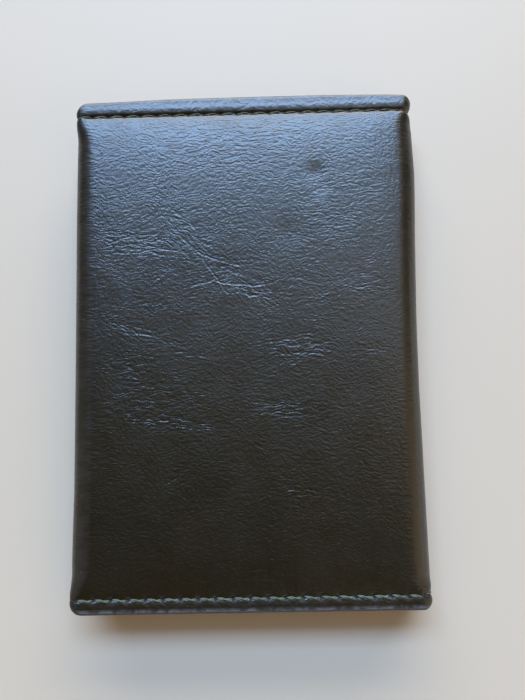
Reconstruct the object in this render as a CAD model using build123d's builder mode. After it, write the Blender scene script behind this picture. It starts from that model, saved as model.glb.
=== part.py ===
"""Passport holder wallet: a closed bifold of padded leather with turned, stitched hems.

The wallet lies shut on its front cover. X runs from the fore-edge (-) to the spine (+),
Y from the bottom hem (-) to the top hem (+), Z up from the surface it lies on.
One strip of leather makes both covers, the spine and both inner sleeves. It is divided here
where it bends, so that the covers can open about the two creases of the spine.
Millimetres.
"""

from build123d import *
from math import floor
import os

# ---- Overall size, closed ----
wallet_length = 146.5  # bottom hem to top hem
wallet_width = 100.0  # fore-edge to spine

# ---- Layers, each by its own thickness ----
leather = 1.0  # the outer strip, covers and sleeves alike
padding = 1.0
lining = 0.3
leaf_leather = 0.6  # card slot leaves
passport_gap = 4.5  # room for a passport under its sleeve
document_gap = 0.6  # room for loose papers behind the card slots
cover_gap = 1.0  # between the two covers' inner faces when shut

# ---- Hems, seams and folds ----
hem_width = 4.75  # flat stitched margin, from the edge inwards
ramp_width = 5.0  # over this the sleeve rises from the hem
turn_in = 8.0  # depth of the turned edge inside a hem
seam_inset = 4.0  # from the edge to the line of stitches
groove_width = 1.1  # the seam's sunken line
groove_depth = 0.5
corner_radius = 3.0  # the covers' corners at the fore-edge
fold_reach = 8.0  # the fore-edge fold's legs, from the fore-edge
crease_clearance = 0.4  # covers stop this far short of the crease
inner_clearance = 0.2  # padding and lining to the turned edges
padding_setback = 3.0  # padding stops this far from the crease

# ---- Thread ----
stitch_pitch = 4.7
stitch_length = 3.9
thread_width = 0.7
thread_height = 0.45
seam_end = 4.0  # plain leather left at the fore-edge end of a seam
spine_seam_end = 0.8  # plain leather left at each end of a spine seam

# ---- Inner pockets ----
sleeve_depth = 70.0  # the passport sleeve's mouth, from the fore-edge
notch_radius = 11.0  # thumb notch in the sleeve's mouth
card_width = 85.6  # standard card, lying on its long side
slot_margin = 2.7  # stitched margin each side of a card
slot_count = 4
slot_step = 13.0  # from one slot's mouth to the next
slot_depth = 50.0  # the pocket below each mouth
slot_inset = 3.0  # leaves start this far from the fore-edge
first_mouth = 34.0  # top slot's mouth, below the top hem's edge
mouth_margin = 0.5  # document sleeve past the leaves, towards the spine
slot_seam_inset = 1.3  # from a leaf's side to its stitches
slot_stitch_pitch = 3.6
slot_stitch_length = 2.9

# ---- Worked out from the above ----
half_length = wallet_length / 2
fore_x = -wallet_width / 2
spine_x = wallet_width / 2
crease = 2 * leather  # each crease's setback from the spine's square corner, a turned edge's depth
document_stack = leather + padding + lining + document_gap + leather
passport_stack = leather + padding + lining + passport_gap + leather
slot_stack = slot_count * leaf_leather
wallet_thickness = document_stack + slot_stack + cover_gap + passport_stack
hem_stack = 3 * leather  # outer, turned edge and sleeve
hem_start = half_length - hem_width
flat_half = hem_start - ramp_width
turn_start = half_length - turn_in
fold_end_x = fore_x + fold_reach
crease_x = spine_x - crease
panel_end_x = crease_x - crease_clearance
seam_y = half_length - seam_inset
inner_half = turn_start - inner_clearance
padding_end_x = crease_x - padding_setback
leaf_start_x = fore_x + slot_inset
leaf_end_x = leaf_start_x + card_width + 2 * slot_margin
document_mouth_x = leaf_end_x + mouth_margin
sleeve_mouth_x = fore_x + sleeve_depth
ENDS = (-1, 1)  # bottom and top


class Side:
    """One cover: the height of its outer face, the way inwards, and its fore-edge fold's height."""

    def __init__(self, name, outer_z, inward, stack):
        self.name = name
        self.outer_z = outer_z
        self.inward = inward
        self.stack = stack

    def height(self, depth):
        """The height of a layer that lies this deep under the outer face."""
        return self.outer_z + self.inward * depth


FRONT = Side("front", 0.0, 1, document_stack)
BACK = Side("back", wallet_thickness, -1, passport_stack)


def slab(side, x_span, y_span, depth_span):
    """Adds a plate between two depths under a cover's outer face."""
    low, high = sorted(side.height(depth) for depth in depth_span)
    with BuildSketch(Plane.XY.offset(low)) as plan:
        with Locations((sum(x_span) / 2, sum(y_span) / 2)):
            Rectangle(x_span[1] - x_span[0], y_span[1] - y_span[0])
    extrude(plan.sketch, amount=high - low)


def fold_section(side, stack, y):
    """Sketches the strip turned round the fore-edge, as a U lying on its side at y."""
    outer = stack / 2
    inner = outer - leather
    centre_x = fore_x + outer
    near, far = side.height(0), side.height(stack)
    near_in, far_in = side.height(leather), side.height(stack - leather)
    middle = side.height(outer)
    with BuildSketch(Plane.XZ.offset(-y)) as section:
        with BuildLine():
            Line((fold_end_x, near), (centre_x, near))
            ThreePointArc((centre_x, near), (fore_x, middle), (centre_x, far))
            Line((centre_x, far), (fold_end_x, far))
            Line((fold_end_x, far), (fold_end_x, far_in))
            Line((fold_end_x, far_in), (centre_x, far_in))
            ThreePointArc((centre_x, far_in), (centre_x - inner, middle), (centre_x, near_in))
            Line((centre_x, near_in), (fold_end_x, near_in))
            Line((fold_end_x, near_in), (fold_end_x, near))
        make_face()
    return section.sketch


def fore_edge_fold(side):
    """Adds the whole fold: full height between the ramps, and pinched flat at both hems."""
    extrude(fold_section(side, side.stack, 0), amount=flat_half, both=True)
    for end in ENDS:
        pinched = fold_section(side, hem_stack, end * hem_start)
        loft([fold_section(side, side.stack, end * flat_half), pinched])
        extrude(pinched, amount=-end * hem_width)
        fill_span = sorted((end * hem_start, end * half_length))
        slab(side, (fore_x + hem_stack / 2, fold_end_x), fill_span, (leather, 2 * leather))


def round_fore_corners():
    """Rounds the corners at the fore-edge ends of whatever the part holds so far."""
    with BuildSketch(Plane.XY) as corner_plan:
        with Locations(((fore_x + spine_x) / 2, 0)):
            Rectangle(wallet_width, wallet_length)
        fillet(corner_plan.vertices().group_by(Axis.X)[0], corner_radius)
    extrude(corner_plan.sketch, amount=wallet_thickness, mode=Mode.INTERSECT)


def seam_grooves(side):
    """Sinks the two lines that the stitches lie in, on the cover's outer face."""
    start_x = fore_x + seam_end
    low, high = sorted((side.height(0), side.height(groove_depth)))
    with BuildSketch(Plane.XY.offset(low)) as grooves:
        with Locations(*[((start_x + panel_end_x) / 2, end * seam_y) for end in ENDS]):
            Rectangle(panel_end_x - start_x, groove_width)
    extrude(grooves.sketch, amount=high - low, mode=Mode.SUBTRACT)


def cover_panel(side):
    """Adds one cover's outer panel with its turned hems, fore-edge fold and seam lines."""
    slab(side, (fold_end_x, panel_end_x), (-half_length, half_length), (0, leather))
    for end in ENDS:
        turned = sorted((end * turn_start, end * half_length))
        slab(side, (fold_end_x, panel_end_x), turned, (leather, 2 * leather))
    fore_edge_fold(side)
    round_fore_corners()
    seam_grooves(side)


def sleeve_pan(side, mouth_x):
    """Adds a sleeve: flat in the middle, ramped down to the flat hem at both ends."""
    top, under = side.stack, side.stack - leather
    hem_top, hem_under = hem_stack, hem_stack - leather
    outer_path = [
        (-half_length, hem_top),
        (-hem_start, hem_top),
        (-flat_half, top),
        (flat_half, top),
        (hem_start, hem_top),
        (half_length, hem_top),
        (half_length, hem_under),
        (hem_start, hem_under),
        (flat_half, under),
        (-flat_half, under),
        (-hem_start, hem_under),
        (-half_length, hem_under),
    ]
    with BuildSketch(Plane.YZ.offset(fold_end_x)) as section:
        with BuildLine():
            Polyline(*[(y, side.height(depth)) for y, depth in outer_path], close=True)
        make_face()
    extrude(section.sketch, amount=mouth_x - fold_end_x)


def stitch_row(length, pitch, stitch):
    """How many stitches fit in a seam of this length."""
    return floor((length - stitch) / pitch) + 1


def seam_thread(side, end):
    """Adds one cover seam's stitches, each lying on the floor of its groove."""
    start_x = fore_x + seam_end
    length = panel_end_x - start_x
    count = stitch_row(length, stitch_pitch, stitch_length)
    floor_z = side.height(groove_depth)
    with BuildSketch(Plane.XY.offset(floor_z)) as stitches:
        with Locations((start_x + length / 2, end * seam_y)):
            with GridLocations(stitch_pitch, 1, count, 1):
                SlotOverall(stitch_length, thread_width)
    extrude(stitches.sketch, amount=-side.inward * thread_height)


def save(name, piece):
    """Labels a finished piece and writes it."""
    piece.part.label = name
    export_step(piece.part, f"parts/{name}.step")


os.makedirs("parts", exist_ok=True)

# ---- The two covers: outer leather, padding, lining and seam thread ----
for cover in (FRONT, BACK):
    with BuildPart() as cover_leather:
        cover_panel(cover)
    save(f"{cover.name}_cover_leather", cover_leather)

    inner_start_x = fore_x + cover.stack / 2
    inner_x = (inner_start_x, padding_end_x)
    inner_y = (-inner_half, inner_half)
    with BuildPart() as cover_padding:
        slab(cover, inner_x, inner_y, (leather, leather + padding))
    save(f"{cover.name}_padding", cover_padding)

    lining_depth = leather + padding
    with BuildPart() as cover_lining:
        slab(cover, inner_x, inner_y, (lining_depth, lining_depth + lining))
    save(f"{cover.name}_lining", cover_lining)

    for end, end_name in zip(ENDS, ("bottom", "top")):
        with BuildPart() as cover_thread:
            seam_thread(cover, end)
        save(f"{cover.name}_{end_name}_seam_thread", cover_thread)

# ---- The passport sleeve, inside the back cover, with a thumb notch in its mouth ----
with BuildPart() as passport_sleeve:
    sleeve_pan(BACK, sleeve_mouth_x)
    with BuildSketch(Plane.XY):
        with Locations((sleeve_mouth_x, 0)):
            Circle(notch_radius)
    extrude(amount=wallet_thickness, mode=Mode.SUBTRACT)
save("passport_sleeve", passport_sleeve)

# ---- The document sleeve, inside the front cover, which carries the card slots ----
with BuildPart() as document_sleeve:
    sleeve_pan(FRONT, document_mouth_x)
save("document_sleeve", document_sleeve)


def slot_mouth_y(number):
    """The height up the wallet of a slot's mouth, slot 1 being the top one."""
    return half_length - first_mouth - (number - 1) * slot_step


def slot_bottom_y(number):
    """Where a slot's leaf ends: the last leaf runs down to the hem, the others stop hidden."""
    if number == slot_count:
        return -flat_half
    return max(slot_mouth_y(number) - slot_depth, -flat_half)


# ---- Card slots: stacked leaves, each lying on the one above it in the stack ----
for number in range(1, slot_count + 1):
    leaf_depth = document_stack + (number - 1) * leaf_leather
    leaf_y = (slot_bottom_y(number), slot_mouth_y(number))
    with BuildPart() as card_slot:
        slab(FRONT, (leaf_start_x, leaf_end_x), leaf_y, (leaf_depth, leaf_depth + leaf_leather))
    save(f"card_slot_{number}", card_slot)

# ---- Thread down both sides of the card slots, on each leaf's exposed strip ----
with BuildPart() as slot_thread:
    for number in range(1, slot_count + 1):
        top_y = slot_mouth_y(number)
        strip_end_y = slot_bottom_y(number) if number == slot_count else slot_mouth_y(number + 1)
        count = stitch_row(top_y - strip_end_y, slot_stitch_pitch, slot_stitch_length)
        face_z = FRONT.height(document_stack + number * leaf_leather)
        side_x = (leaf_start_x + slot_seam_inset, leaf_end_x - slot_seam_inset)
        with BuildSketch(Plane.XY.offset(face_z)):
            with Locations(*[(x, (top_y + strip_end_y) / 2) for x in side_x]):
                with GridLocations(1, slot_stitch_pitch, 1, count):
                    SlotOverall(slot_stitch_length, thread_width, rotation=90)
        extrude(amount=FRONT.inward * thread_height)
save("card_slot_thread", slot_thread)

# ---- The spine: leather with turned hems and seam lines, its lining and its thread ----
spine_low, spine_high = crease, wallet_thickness - crease
spine_height = spine_high - spine_low
spine_middle_z = (spine_low + spine_high) / 2

with BuildPart() as spine_leather:
    with BuildSketch(Plane.XZ):
        with Locations((spine_x - leather / 2, spine_middle_z)):
            Rectangle(leather, spine_height)
    extrude(amount=half_length, both=True)
    with BuildSketch(Plane.XZ.offset(-half_length), Plane.XZ.offset(half_length - turn_in)):
        with Locations((spine_x - 1.5 * leather, spine_middle_z)):
            Rectangle(leather, spine_height)
    extrude(amount=turn_in)
    with BuildSketch(Plane.YZ.offset(spine_x - groove_depth)):
        with Locations(*[(end * seam_y, spine_middle_z) for end in ENDS]):
            Rectangle(groove_width, spine_height)
    extrude(amount=groove_depth, mode=Mode.SUBTRACT)
save("spine_leather", spine_leather)

with BuildPart() as spine_lining:
    with BuildSketch(Plane.XZ):
        with Locations((spine_x - leather - lining / 2, spine_middle_z)):
            Rectangle(lining, spine_height)
    extrude(amount=inner_half, both=True)
save("spine_lining", spine_lining)

spine_seam_length = spine_height - 2 * spine_seam_end
spine_stitches = stitch_row(spine_seam_length, stitch_pitch, stitch_length)
for end, end_name in zip(ENDS, ("bottom", "top")):
    with BuildPart() as spine_thread:
        with BuildSketch(Plane.YZ.offset(spine_x - groove_depth)):
            with Locations((end * seam_y, spine_middle_z)):
                with GridLocations(1, stitch_pitch, 1, spine_stitches):
                    SlotOverall(stitch_length, thread_width, rotation=90)
        extrude(amount=thread_height)
    save(f"spine_{end_name}_seam_thread", spine_thread)

print(f"closed size {wallet_width} x {wallet_length} x {wallet_thickness:.1f} mm")
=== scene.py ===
import math

import bpy
import numpy as np
from mathutils import Matrix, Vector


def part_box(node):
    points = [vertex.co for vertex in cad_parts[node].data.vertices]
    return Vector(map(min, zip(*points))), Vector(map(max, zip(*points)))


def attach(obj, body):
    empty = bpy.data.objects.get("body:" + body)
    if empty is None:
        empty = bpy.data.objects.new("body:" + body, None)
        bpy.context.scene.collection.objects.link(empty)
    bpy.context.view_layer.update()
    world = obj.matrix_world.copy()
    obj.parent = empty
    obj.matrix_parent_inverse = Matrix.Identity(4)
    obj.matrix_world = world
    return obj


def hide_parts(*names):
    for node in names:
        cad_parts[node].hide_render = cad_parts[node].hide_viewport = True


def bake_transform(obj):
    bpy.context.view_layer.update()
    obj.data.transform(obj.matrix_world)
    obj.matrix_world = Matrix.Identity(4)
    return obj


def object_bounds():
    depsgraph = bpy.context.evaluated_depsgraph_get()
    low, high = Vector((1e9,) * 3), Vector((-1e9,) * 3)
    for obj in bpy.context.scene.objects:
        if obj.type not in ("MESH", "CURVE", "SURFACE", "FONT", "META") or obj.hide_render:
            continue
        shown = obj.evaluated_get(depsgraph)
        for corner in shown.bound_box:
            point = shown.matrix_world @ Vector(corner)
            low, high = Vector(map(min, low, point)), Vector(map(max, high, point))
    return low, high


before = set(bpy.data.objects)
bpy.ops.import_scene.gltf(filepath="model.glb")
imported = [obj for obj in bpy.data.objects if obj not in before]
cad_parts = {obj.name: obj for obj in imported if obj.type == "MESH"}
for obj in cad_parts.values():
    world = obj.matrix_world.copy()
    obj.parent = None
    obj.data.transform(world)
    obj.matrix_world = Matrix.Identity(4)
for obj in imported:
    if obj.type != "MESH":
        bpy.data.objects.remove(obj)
cad_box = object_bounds()

MM = 0.001

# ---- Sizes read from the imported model, in millimetres ----


def box_mm(node):
    """A node's lowest and highest corner, in millimetres."""
    return tuple(np.array(corner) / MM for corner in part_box(node))


box_low, box_high = (np.array(corner) / MM for corner in cad_box)
half_length = box_high[1]
fore_x, spine_x = box_low[0], box_high[0]
thickness = box_high[2]
middle = thickness / 2
seam_y = (box_mm("back_top_seam_thread")[0][1] + box_mm("back_top_seam_thread")[1][1]) / 2
leather = (thickness - box_mm("passport_sleeve")[1][2]) / 2
passport_stack = thickness - box_mm("passport_sleeve")[0][2]
document_stack = box_mm("document_sleeve")[1][2]
padding_depth = box_mm("front_padding")[1][2]
lining_depth = box_mm("front_lining")[1][2]
lining_edge = box_mm("front_lining")[1][1]
padding_edge_x = box_mm("front_padding")[1][0]
passport_mouth = box_mm("passport_sleeve")[1][0]
document_mouth = box_mm("document_sleeve")[1][0]

# ---- Sizes of the leather work, in millimetres ----

slot_pitch = 3.4
slot_seam_inset = 1.2
hem_layer = 1.5  # the outer leather with its turned edge, and the sleeve with its own
turned_edge = 65.3  # where the turned edge ends inside
stitch_pitch = 4.78
stitch_shift = {1: 0.0, -1: 1.96}  # where the needle starts along the top and bottom seams
stitch_length = 3.9
notch_radius = 11.0
notch_fillet = 2.5

# top and bottom seams, as 1 and -1: groove and scallop depth, the thread and how proud it sits, and the hem's pull
GROOVE_DEPTH = {1: 0.42, -1: 0.17}
SCALLOP_DEPTH = {1: 0.22, -1: 0.42}
THREAD_THICKNESS = {1: 0.66, -1: 0.84}
THREAD_STAND = {1: 0.08, -1: 0.20}
SPINE_PULL = {1: 0.8, -1: 1.2}
SPINE, CORNER, FACE, FOLD, SLEEVE = range(5)  # the parts of the strip, in order from the middle of the spine


# ---- The camera, the lights and the floor ----

CAMERA_PLACE = (0.0060, -0.0147, 0.1638)
CAMERA_TURNS = ((-1.19, "Z"), (0.73, "Y"), (5.13, "X"))
CAMERA_LENS = 27.05

# name, place, width, height, power, colour
LIGHTS = [
    ("window", (-0.45, 4.15, 4.85), 6.0, 1.60, 600.0, (0.37, 0.61, 1.0)),
    ("high_sky", (1.0, 1.57, 3.90), 2.8, 1.2, 16.0, (0.56, 0.76, 1.0)),
    ("low_sky", (0.5, 6.10, 2.50), 8.4, 2.4, 560.0, (1.0, 0.95, 0.88)),
    ("ceiling", (0.0, 0.55, 3.9), 3.0, 1.2, 4.2, (1.0, 0.92, 0.72)),
    ("right_wall", (2.2, -0.8, 0.8), 2.0, 1.8, 8.5, (1.0, 0.74, 0.52)),
    ("left_wall", (-2.2, -0.9, 0.8), 1.8, 1.8, 2.4, (1.0, 0.90, 0.72)),
    ("right_high", (1.55, 0.2, 2.3), 1.5, 1.5, 5.0, (1.0, 0.76, 0.56)),
    ("back_wall", (0.3, -2.4, 0.42), 2.4, 0.6, 9.5, (0.86, 0.88, 1.0)),
    ("back_high", (0.9, -2.6, 2.7), 1.8, 0.9, 2.2, (1.0, 0.80, 0.58)),
]
ROOM_SEEN, ROOM_AROUND = (0.80, 0.79, 0.77, 1.0), (0.098, 0.060, 0.017, 1.0)
TABLE_COLOUR, TABLE_ROUGHNESS, TABLE_HALF = (0.63, 0.53, 0.408, 1.0), 0.55, 4000


def linked(name, data):
    """A new object in the scene."""
    item = bpy.data.objects.new(name, data)
    bpy.context.scene.collection.objects.link(item)
    return item


def make_camera():
    """The camera, looking down at the closed wallet."""
    data = bpy.data.cameras.new("camera")
    data.sensor_width, data.lens = 36.0, CAMERA_LENS
    data.clip_start, data.clip_end = 0.01, 50.0
    camera = linked("camera", data)
    place = Matrix.Translation(CAMERA_PLACE)
    for degrees, axis in CAMERA_TURNS:
        place = place @ Matrix.Rotation(math.radians(degrees), 4, axis)
    camera.matrix_world = place
    bpy.context.scene.camera = camera


def make_studio():
    """Soft lights facing the wallet, and a room that is paler where it is seen."""
    for name, place, width, height, power, colour in LIGHTS:
        light = bpy.data.lights.new(name, "AREA")
        light.shape = "RECTANGLE"
        light.size, light.size_y = width, height
        light.energy, light.color = power, colour
        place = Matrix.Translation(place)
        toward = -place.translation
        linked(name, light).matrix_world = place @ toward.to_track_quat("-Z", "Y").to_matrix().to_4x4()
    world = bpy.data.worlds.new("room")
    bpy.context.scene.world = world
    world.use_nodes = True
    tree = world.node_tree
    tree.nodes.clear()
    seen, around = (result(tree, "ShaderNodeBackground", {"Color": colour}) for colour in (ROOM_SEEN, ROOM_AROUND))
    direct = result(tree, "ShaderNodeLightPath", output="Is Camera Ray")
    mixed = result(tree, "ShaderNodeMixShader", {"Fac": direct, 1: around, 2: seen})
    put(tree, "ShaderNodeOutputWorld", {"Surface": mixed})
    bpy.context.scene.view_settings.view_transform = "Standard"


# ---- Shader helpers ----

ORIGIN = (0.0, 0.0, 0.0)
HALFWAY = (0.5, 0.5, 0.5)


class Value:
    """A value inside a node tree. Arithmetic on it adds Math nodes."""

    def __init__(self, tree, socket):
        self.tree, self.socket = tree, socket

    def __add__(self, other):
        return calc("ADD", self, other)

    def __sub__(self, other):
        return calc("SUBTRACT", self, other)

    def __mul__(self, other):
        return calc("MULTIPLY", self, other)

    def __truediv__(self, other):
        return calc("DIVIDE", self, other)

    def __rsub__(self, other):
        return calc("SUBTRACT", other, self)

    def __rtruediv__(self, other):
        return calc("DIVIDE", other, self)


def put(tree, kind, inputs=None, **settings):
    """Adds a node, sets its options, and sets or links its inputs."""
    node = tree.nodes.new(kind)
    for name, value in settings.items():
        setattr(node, name, value)
    for name, value in (inputs or {}).items():
        if isinstance(value, Value):
            tree.links.new(value.socket, node.inputs[name])
        else:
            node.inputs[name].default_value = value
    return node


def result(tree, kind, inputs=None, output=0, **settings):
    """Adds a node and gives one of its outputs."""
    return Value(tree, put(tree, kind, inputs, **settings).outputs[output])


def calc(operation, *values, clamp=False):
    """A Math node's result."""
    tree = next(value.tree for value in values if isinstance(value, Value))
    return result(tree, "ShaderNodeMath", dict(enumerate(values)), operation=operation, use_clamp=clamp)


def vector_calc(operation, first, second):
    """A Vector Math node's vector result."""
    return result(first.tree, "ShaderNodeVectorMath", {0: first, 1: second}, operation=operation)


def scaled(vector, scale):
    """A vector times a number."""
    return result(vector.tree, "ShaderNodeVectorMath", {0: vector, "Scale": scale}, operation="SCALE")


def joined(tree, x, y, z):
    """A vector from its three parts."""
    return result(tree, "ShaderNodeCombineXYZ", {"X": x, "Y": y, "Z": z})


def parts(vector):
    """A vector's three parts."""
    node = put(vector.tree, "ShaderNodeSeparateXYZ", {0: vector})
    return [Value(vector.tree, output) for output in node.outputs]


def soft_step(value, low, high, to_low=0.0, to_high=1.0):
    """A smooth change from one number to another as value passes from low to high."""
    limits = {"Value": value, "From Min": low, "From Max": high, "To Min": to_low, "To Max": to_high}
    return result(value.tree, "ShaderNodeMapRange", limits, interpolation_type="SMOOTHSTEP")


def noise(vector, scale, detail=2.0, roughness=0.5, output=0):
    """A noise texture's result."""
    inputs = {"Vector": vector, "Scale": scale, "Detail": detail, "Roughness": roughness}
    return result(vector.tree, "ShaderNodeTexNoise", inputs, output)


def layered(tree, colour, *layers):
    """A colour with others laid over it in turn, each by its own share."""
    base = (*colour, 1)
    for share, over in layers:
        base = result(tree, "ShaderNodeMix", {0: share, 6: base, 7: (*over, 1)}, 2, data_type="RGBA")
    return base


def new_group(name, inputs, *outputs):
    """A shader node group with these inputs and outputs. Returns the group, then each input as a value."""
    group = bpy.data.node_groups.new(name, "ShaderNodeTree")
    for label, default in inputs.items():
        kind = "NodeSocketVector" if isinstance(default, tuple) else "NodeSocketFloat"
        group.interface.new_socket(label, in_out="INPUT", socket_type=kind).default_value = default
    for label in outputs:
        group.interface.new_socket(label, in_out="OUTPUT", socket_type="NodeSocketFloat")
    given = put(group, "NodeGroupInput").outputs
    return group, *(Value(group, given[label]) for label in inputs)


def use(tree, group, **inputs):
    """Places a group in a tree with its own values."""
    node = put(tree, "ShaderNodeGroup", inputs, node_tree=group)
    return {output.name: Value(tree, output) for output in node.outputs}


# ---- Shared surface effects. Lengths are millimetres ----


def grain_group():
    """Fine pressed grain: flowing ripples broken into small pillows."""
    t, position, size, stretch, depth = new_group(
        "leather_grain", {"Position": ORIGIN, "Size": 1.0, "Stretch": 1.7, "Depth": 0.04}, "Height", "Valley")
    warp = vector_calc("SUBTRACT", noise(position, 0.11, 1.0, 0.5, "Color"), HALFWAY)
    flow = vector_calc("ADD", position, scaled(warp, 6.5))
    flow = vector_calc("MULTIPLY", flow, joined(t, 1.0, stretch, 1.0))
    flow = vector_calc("DIVIDE", flow, joined(t, size, size, size))
    ridge = noise(flow, 1.0, 0.6, 0.4)
    pebble = result(t, "ShaderNodeTexVoronoi", {"Vector": flow, "Scale": 0.85, "Randomness": 1.0}, "Distance",
                    feature="DISTANCE_TO_EDGE")
    height = ridge + soft_step(pebble, -0.15, 0.42) * 0.22 + noise(flow, 2.6, 0.0, 0.5) * 0.07
    put(t, "NodeGroupOutput", {"Height": height * depth, "Valley": soft_step(height, 0.45, 0.85, 1.0, 0.0)})
    return t


def wrinkle_group():
    """Near-parallel wrinkles running one way, added to the height below."""
    t, below, position, angle, spacing, depth, share = new_group(
        "wrinkles", {"Below": 0.0, "Position": ORIGIN, "Angle": 0.0, "Spacing": 1.1, "Depth": 0.05, "Share": 1.0},
        "Height")
    local = result(t, "ShaderNodeVectorRotate", {"Vector": position, "Center": ORIGIN, "Angle": angle * -1.0},
                   rotation_type="Z_AXIS")
    x, y, _ = parts(local)
    lines = joined(t, x / (spacing * 4.2), y / spacing, angle * 7.0)
    ridge = calc("ABSOLUTE", noise(lines, 0.55, 1.0, 0.4) - 0.5)
    put(t, "NodeGroupOutput", {"Height": below + soft_step(ridge, 0.0, 0.11, -1.0, 0.0) * share * depth})
    return t


def crease_group():
    """Creases from a painted distance and depth, each with a raised lip, added to the height below."""
    t, below, distance, depth, waver, width = new_group(
        "creases", {"Below": 0.0, "Distance": 9.0, "Depth": 0.0, "Waver": 0.0, "Width": 0.3}, "Height")
    across = (distance + waver) / width

    def hump(centre, sharpness):
        away = across - centre if centre else across
        return calc("EXPONENT", away * away * -sharpness)

    shape = hump(1.6, 1.3) * 0.75 - hump(0.0, 1.0) - hump(-2.9, 1.1) * 0.45
    put(t, "NodeGroupOutput", {"Height": below + shape * depth})
    return t


def wear_and_highlight_group():
    """Rubbed edges, and a painted highlight where the attribute is painted strong, as on the outer leather's bottom
    rim: an attribute painted on the piece, broken up by noise.
    """
    t, position, edge, amount = new_group("edge_wear", {"Position": ORIGIN, "Edge": 0.0, "Amount": 0.5}, "Mask")
    rubbed = edge * soft_step(noise(position, 0.35, 3.0, 0.6), 0.36, 0.62, 0.25, 1.0)
    put(t, "NodeGroupOutput", {"Mask": calc("MULTIPLY", rubbed, amount, clamp=True)})
    return t


def dust_group():
    """Sparse pale specks and lint."""
    t, position, amount = new_group("dust", {"Position": ORIGIN, "Amount": 0.5}, "Mask")
    cells = put(t, "ShaderNodeTexVoronoi", {"Vector": position, "Scale": 0.55, "Randomness": 1.0}).outputs
    near = soft_step(Value(t, cells["Distance"]), 0.05, 0.10, 1.0, 0.0)
    chosen = calc("GREATER_THAN", result(t, "ShaderNodeSeparateColor", {0: Value(t, cells["Color"])}), 0.72)
    put(t, "NodeGroupOutput", {"Mask": near * chosen * amount})
    return t


def weave_group():
    """Plain woven cloth."""
    t, position, yarn = new_group("plain_weave", {"Position": ORIGIN, "Yarn": 0.45}, "Height", "Shade")
    x, y, _ = parts(position)
    turn = math.pi / yarn
    across, along = calc("SINE", x * turn), calc("SINE", y * turn)
    top = soft_step(across * along, -0.15, 0.15)
    height = calc("ABSOLUTE", across) * top + calc("ABSOLUTE", along) * (1.0 - top)
    slub = soft_step(noise(position, 0.8, 2.0, 0.6), 0.3, 0.7, 0.75, 1.1)
    put(t, "NodeGroupOutput", {"Height": height, "Shade": height * slub})
    return t


def holes_group():
    """Needle holes along a seam, each a slanted slit."""
    t, position, pitch, seam, top_start, bottom_start = new_group(
        "needle_holes", {"Position": ORIGIN, "Pitch": stitch_pitch, "Seam": seam_y, "Top start": stitch_shift[1],
                         "Bottom start": stitch_shift[-1]}, "Mask")
    x, y, _ = parts(position)
    across = calc("ABSOLUTE", y) - seam
    start = calc("MULTIPLY_ADD", calc("LESS_THAN", y, 0.0), bottom_start - top_start, top_start)
    along = (calc("FRACT", (x - start) / pitch + 0.5) - 0.5) * pitch
    long_part, wide_part = (along + across * 0.45) / 0.50, across / 0.52
    reach = long_part * long_part + wide_part * wide_part
    put(t, "NodeGroupOutput", {"Mask": soft_step(reach, 0.55, 1.25, 1.0, 0.0)})
    return t


GRAIN, WRINKLE, CREASE = grain_group(), wrinkle_group(), crease_group()
WEAR_AND_HIGHLIGHT, DUST, WEAVE, HOLES = wear_and_highlight_group(), dust_group(), weave_group(), holes_group()


# ---- The strip: outer face, fore-edge fold and inner sleeve as one piece of leather ----


def ease(t):
    """A smooth start and stop from 0 to 1."""
    return t * t * (3 - 2 * t)


def bell(distance, width):
    """1 at no distance, falling smoothly to 0 over the width."""
    return np.exp(-(distance / width) ** 2)


def rise(y, outside, inside):
    """0 beyond outside, 1 within inside, smooth between, by distance from the middle."""
    return ease(np.clip((outside - np.abs(y)) / (outside - inside), 0, 1))


# how far each edge stands out of the plain box: the place along it, then the distance
SPINE_WAIST = np.array([
    (-73.3, -0.15), (-70.5, -0.30), (-69.2, -0.50), (-67.5, 0.05), (-64.0, 0.40), (-55.0, 0.32), (-42.0, 0.15),
    (-28.0, 0.0), (-13.0, -0.20), (1.0, -0.10), (15.0, 0.18), (30.0, 0.55), (44.0, 1.10), (51.0, 1.28),
    (58.0, 1.05), (64.0, 0.85), (67.5, 0.20), (69.2, -0.55), (70.5, 0.0), (73.3, 0.35)])
FORE_EDGE = np.array([(-73.3, 0.35), (-69.0, 0.30), (-66.5, 0.30), (-60.0, 0.50), (-52.0, 0.35), (-40.0, 0.0),
                      (0.0, 0.0), (40.0, 0.14), (58.0, 0.04), (66.0, -0.10), (69.2, -0.20), (73.3, -0.12)])
TOP_ARCH = np.array([(-50.0, 0.35), (-46.0, 0.55), (-38.0, 0.65), (-22.0, 1.12), (2.0, 1.25), (26.0, 1.20),
                     (42.0, 0.85), (50.0, 0.55)])


def spine_edge(y):
    """How far the spine stands out, along its length: waisted in the middle and pulled in at the seams."""
    return spine_x + np.interp(y, SPINE_WAIST[:, 0], SPINE_WAIST[:, 1])


def fore_edge(y):
    """How far the fore-edge fold stands out, along its length."""
    return fore_x - np.interp(y, FORE_EDGE[:, 0], FORE_EDGE[:, 1])


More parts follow.
